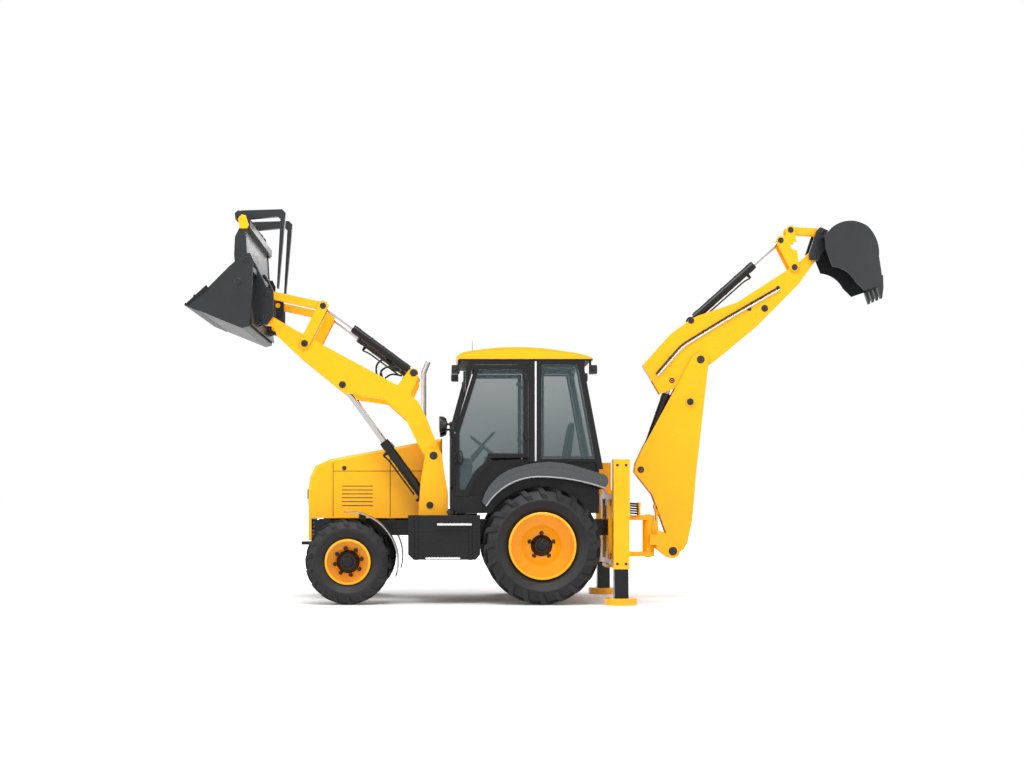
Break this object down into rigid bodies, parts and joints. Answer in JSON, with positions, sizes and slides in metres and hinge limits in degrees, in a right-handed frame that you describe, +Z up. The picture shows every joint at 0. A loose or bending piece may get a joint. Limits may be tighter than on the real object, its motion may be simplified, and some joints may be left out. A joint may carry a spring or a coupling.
{
  "type": "backhoe loader",
  "caption": "Wheeled backhoe loader: cab, hinged doors, loader arms with a clam shovel and flip-over forks, side-shift boom, dipper and digging bucket, stabiliser legs.",
  "frame": {"origin": "on the ground under the rear axle, midway between the wheels", "axes": "+X to the machine's rear, +Y to its right, +Z up"},
  "size_m": [7.997, 2.396, 4.53],
  "materials": {
    "yellow_paint": "gloss machine paint",
    "black_paint": "satin black paint",
    "charcoal_paint": "satin charcoal paint",
    "fender_grey": "satin grey moulding",
    "tyre_rubber": "matt rubber",
    "tinted_glass": "tinted safety glass",
    "rod_chrome": "polished",
    "seat_fabric": "woven seat cloth",
    "cab_trim": "moulded trim",
    "stack_steel": "bright pipe",
    "engine_iron": "painted casting",
    "lamp_plastic": "lamp housings with clear lenses"
  },
  "bodies": {
    "machine": {"chassis_frame": "black_paint", "loader_towers": "yellow_paint", "engine_block": "engine_iron", "bonnet": "yellow_paint", "front_axle": "black_paint", "rear_axle": "black_paint", "side_tanks": "black_paint", "exhaust_stack": "stack_steel", "cab_frame": "black_paint", "cab_roof": "yellow_paint", "cab_glass": "tinted_glass", "rear_fenders": "fender_grey", "seat": "seat_fabric", "seat_base": "cab_trim", "console": "cab_trim", "rear_frame": "yellow_paint", "lamps": "lamp_plastic", "mirrors": "lamp_plastic"},
    "knuckle_left": {"knuckle_left": "black_paint"},
    "knuckle_right": {"knuckle_right": "black_paint"},
    "wheel_front_left": {"rim_front_left": "yellow_paint", "tyre_front_left": "tyre_rubber"},
    "wheel_front_right": {"rim_front_right": "yellow_paint", "tyre_front_right": "tyre_rubber"},
    "wheel_rear_left": {"rim_rear_left": "yellow_paint", "tyre_rear_left": "tyre_rubber"},
    "wheel_rear_right": {"rim_rear_right": "yellow_paint", "tyre_rear_right": "tyre_rubber"},
    "door_left": {"door_left": "black_paint", "door_glass_left": "tinted_glass"},
    "door_right": {"door_right": "black_paint", "door_glass_right": "tinted_glass"},
    "loader_arms": {"loader_arms": "yellow_paint"},
    "tilt_levers": {"tilt_levers": "yellow_paint"},
    "tilt_links": {"tilt_links": "yellow_paint"},
    "tilt_barrels": {"tilt_ram_barrels": "black_paint"},
    "tilt_rods": {"tilt_ram_rods": "rod_chrome"},
    "lift_barrels": {"lift_ram_barrels": "black_paint"},
    "lift_rods": {"lift_ram_rods": "rod_chrome"},
    "shovel": {"shovel_back": "charcoal_paint"},
    "clam": {"shovel_clam": "charcoal_paint"},
    "forks": {"flip_forks": "charcoal_paint"},
    "leg_left": {"stabiliser_leg_left": "black_paint"},
    "leg_right": {"stabiliser_leg_right": "black_paint"},
    "carriage": {"carriage": "yellow_paint"},
    "kingpost": {"kingpost": "yellow_paint"},
    "boom": {"boom": "yellow_paint"},
    "boom_barrel": {"boom_ram_barrel": "black_paint"},
    "boom_rod": {"boom_ram_rod": "rod_chrome"},
    "dipper": {"dipper": "yellow_paint"},
    "dipper_barrel": {"dipper_ram_barrel": "black_paint"},
    "dipper_rod": {"dipper_ram_rod": "rod_chrome"},
    "bucket_barrel": {"bucket_ram_barrel": "black_paint"},
    "bucket_rod": {"bucket_ram_rod": "rod_chrome"},
    "tipping_lever": {"tipping_lever": "yellow_paint"},
    "tipping_link": {"tipping_link": "yellow_paint"},
    "hoe_bucket": {"hoe_bucket": "charcoal_paint"}
  },
  "joints": [
    {"name": "steer", "type": "hinge", "parent": "machine", "child": "knuckle_left", "pos_m": [-2.172, -0.77, 0.48], "axis": [0, 0, 1], "range_deg": [-35, 35]},
    {"name": "wheel_front_left_spin", "type": "hinge", "parent": "knuckle_left", "child": "wheel_front_left", "pos_m": [-2.172, -0.965, 0.48], "axis": [0, 1, 0], "continuous": true},
    {"name": "wheel_rear_left_spin", "type": "hinge", "parent": "machine", "child": "wheel_rear_left", "pos_m": [0, -0.96, 0.66], "axis": [0, 1, 0], "continuous": true},
    {"name": "door_left", "type": "hinge", "parent": "machine", "child": "door_left", "pos_m": [-0.165, -0.782, 2.2], "axis": [0, 0, 1], "range_deg": [0, 90]},
    {"name": "leg_left", "type": "slide", "parent": "machine", "child": "leg_left", "axis": [0, 0, 1], "range_m": [-0.15, 0.3]},
    {"name": "steer_right", "type": "hinge", "parent": "machine", "child": "knuckle_right", "pos_m": [-2.172, 0.77, 0.48], "axis": [0, 0, 1], "range_deg": [-35, 35]},
    {"name": "wheel_front_right_spin", "type": "hinge", "parent": "knuckle_right", "child": "wheel_front_right", "pos_m": [-2.172, 0.965, 0.48], "axis": [0, 1, 0], "continuous": true},
    {"name": "wheel_rear_right_spin", "type": "hinge", "parent": "machine", "child": "wheel_rear_right", "pos_m": [0, 0.96, 0.66], "axis": [0, 1, 0], "continuous": true},
    {"name": "door_right", "type": "hinge", "parent": "machine", "child": "door_right", "pos_m": [-0.165, 0.782, 2.2], "axis": [0, 0, -1], "range_deg": [0, 90]},
    {"name": "leg_right", "type": "slide", "parent": "machine", "child": "leg_right", "axis": [0, 0, 1], "range_m": [-0.15, 0.3]},
    {"name": "loader_lift", "type": "hinge", "parent": "machine", "child": "loader_arms", "pos_m": [-1.217, 0, 1.677], "axis": [0, 1, 0], "range_deg": [-68, 5]},
    {"name": "lift_barrel_swing", "type": "hinge", "parent": "machine", "child": "lift_barrels", "pos_m": [-1.258, 0, 1.112], "axis": [0, 1, 0], "range_deg": [-60, 6]},
    {"name": "lift_rod_slide", "type": "slide", "parent": "lift_barrels", "child": "lift_rods", "axis": [-0.588, 0, 0.8089], "range_m": [-0.6, 0.06]},
    {"name": "shovel_tilt", "type": "hinge", "parent": "loader_arms", "child": "shovel", "pos_m": [-3.162, 0, 3.245], "axis": [0, -1, 0], "range_deg": [-80, 63]},
    {"name": "tilt_lever_swing", "type": "hinge", "parent": "loader_arms", "child": "tilt_levers", "pos_m": [-2.691, 0, 2.958], "axis": [0, -1, 0], "range_deg": [-60, 45]},
    {"name": "tilt_link_swing", "type": "hinge", "parent": "shovel", "child": "tilt_links", "pos_m": [-3.116, 0, 3.526], "axis": [0, -1, 0], "range_deg": [-90, 110]},
    {"name": "tilt_barrel_swing", "type": "hinge", "parent": "loader_arms", "child": "tilt_barrels", "pos_m": [-1.446, 0, 2.624], "axis": [0, -1, 0], "range_deg": [-10, 10]},
    {"name": "tilt_rod_slide", "type": "slide", "parent": "tilt_barrels", "child": "tilt_rods", "axis": [-0.8036, 0, 0.5951], "range_m": [-0.4, 0.3]},
    {"name": "clam_open", "type": "hinge", "parent": "shovel", "child": "clam", "pos_m": [-3.296, 0, 3.844], "axis": [0, 1, 0], "range_deg": [0, 65]},
    {"name": "fork_flip", "type": "hinge", "parent": "shovel", "child": "forks", "pos_m": [-3.45, 0, 4.44], "axis": [0, 1, 0], "range_deg": [-250, 0]},
    {"name": "sideshift", "type": "slide", "parent": "machine", "child": "carriage", "axis": [0, 1, 0], "range_m": [-0.5, 0.5]},
    {"name": "slew", "type": "hinge", "parent": "carriage", "child": "kingpost", "pos_m": [1.317, 0, 0.75], "axis": [0, 0, 1], "range_deg": [-90, 90]},
    {"name": "boom", "type": "hinge", "parent": "kingpost", "child": "boom", "pos_m": [1.591, 0, 0.568], "axis": [0, 1, 0], "range_deg": [-5, 110]},
    {"name": "boom_barrel_swing", "type": "hinge", "parent": "kingpost", "child": "boom_barrel", "pos_m": [1.434, 0, 1.086], "axis": [0, 1, 0], "range_deg": [-8, 118]},
    {"name": "boom_rod_slide", "type": "slide", "parent": "boom_barrel", "child": "boom_rod", "axis": [0.2823, 0, 0.9593], "range_m": [-0.05, 0.88]},
    {"name": "dipper", "type": "hinge", "parent": "boom", "child": "dipper", "pos_m": [1.922, 0, 2.822], "axis": [0, -1, 0], "range_deg": [-110, 15]},
    {"name": "dipper_barrel_swing", "type": "hinge", "parent": "boom", "child": "dipper_barrel", "pos_m": [1.218, 0, 1.525], "axis": [0, -1, 0], "range_deg": [-10, 10]},
    {"name": "dipper_rod_slide", "type": "slide", "parent": "dipper_barrel", "child": "dipper_rod", "axis": [0.3321, 0, 0.9433], "range_m": [-0.1, 0.7]},
    {"name": "hoe_bucket", "type": "hinge", "parent": "dipper", "child": "hoe_bucket", "pos_m": [3.24, 0, 4.042], "axis": [0, -1, 0], "range_deg": [-85, 95]},
    {"name": "tipping_lever_swing", "type": "hinge", "parent": "dipper", "child": "tipping_lever", "pos_m": [3.028, 0, 3.908], "axis": [0, -1, 0], "range_deg": [-65, 72]},
    {"name": "tipping_link_swing", "type": "hinge", "parent": "hoe_bucket", "child": "tipping_link", "pos_m": [3.332, 0, 4.327], "axis": [0, -1, 0], "range_deg": [-75, 75]},
    {"name": "bucket_barrel_swing", "type": "hinge", "parent": "dipper", "child": "bucket_barrel", "pos_m": [1.814, 0, 3.282], "axis": [0, -1, 0], "range_deg": [-10, 10]},
    {"name": "bucket_rod_slide", "type": "slide", "parent": "bucket_barrel", "child": "bucket_rod", "axis": [0.7447, 0, 0.6674], "range_m": [-0.36, 0.34]}
  ],
  "couplings": [
    {"joint": "steer_right", "follows": "steer", "ratio": 1},
    {"joint": "lift_barrel_swing", "follows": "loader_lift", "ratio": 0.8366},
    {"joint": "lift_rod_slide", "follows": "loader_lift", "m_per_rad": 0.4837},
    {"joint": "tilt_lever_swing", "follows": "shovel_tilt", "ratio": 0.5751},
    {"joint": "tilt_link_swing", "follows": "shovel_tilt", "ratio": -0.9096},
    {"joint": "tilt_barrel_swing", "follows": "shovel_tilt", "ratio": 0.0174},
    {"joint": "tilt_rod_slide", "follows": "shovel_tilt", "m_per_rad": 0.2505},
    {"joint": "boom_barrel_swing", "follows": "boom", "ratio": 1.046},
    {"joint": "boom_rod_slide", "follows": "boom", "m_per_rad": 0.4491},
    {"joint": "dipper_barrel_swing", "follows": "dipper", "ratio": -0.0369},
    {"joint": "dipper_rod_slide", "follows": "dipper", "m_per_rad": -0.3443},
    {"joint": "tipping_lever_swing", "follows": "hoe_bucket", "ratio": 0.6796},
    {"joint": "tipping_link_swing", "follows": "hoe_bucket", "ratio": -0.6567},
    {"joint": "bucket_barrel_swing", "follows": "hoe_bucket", "ratio": 0.0293},
    {"joint": "bucket_rod_slide", "follows": "hoe_bucket", "m_per_rad": -0.2032}
  ]
}
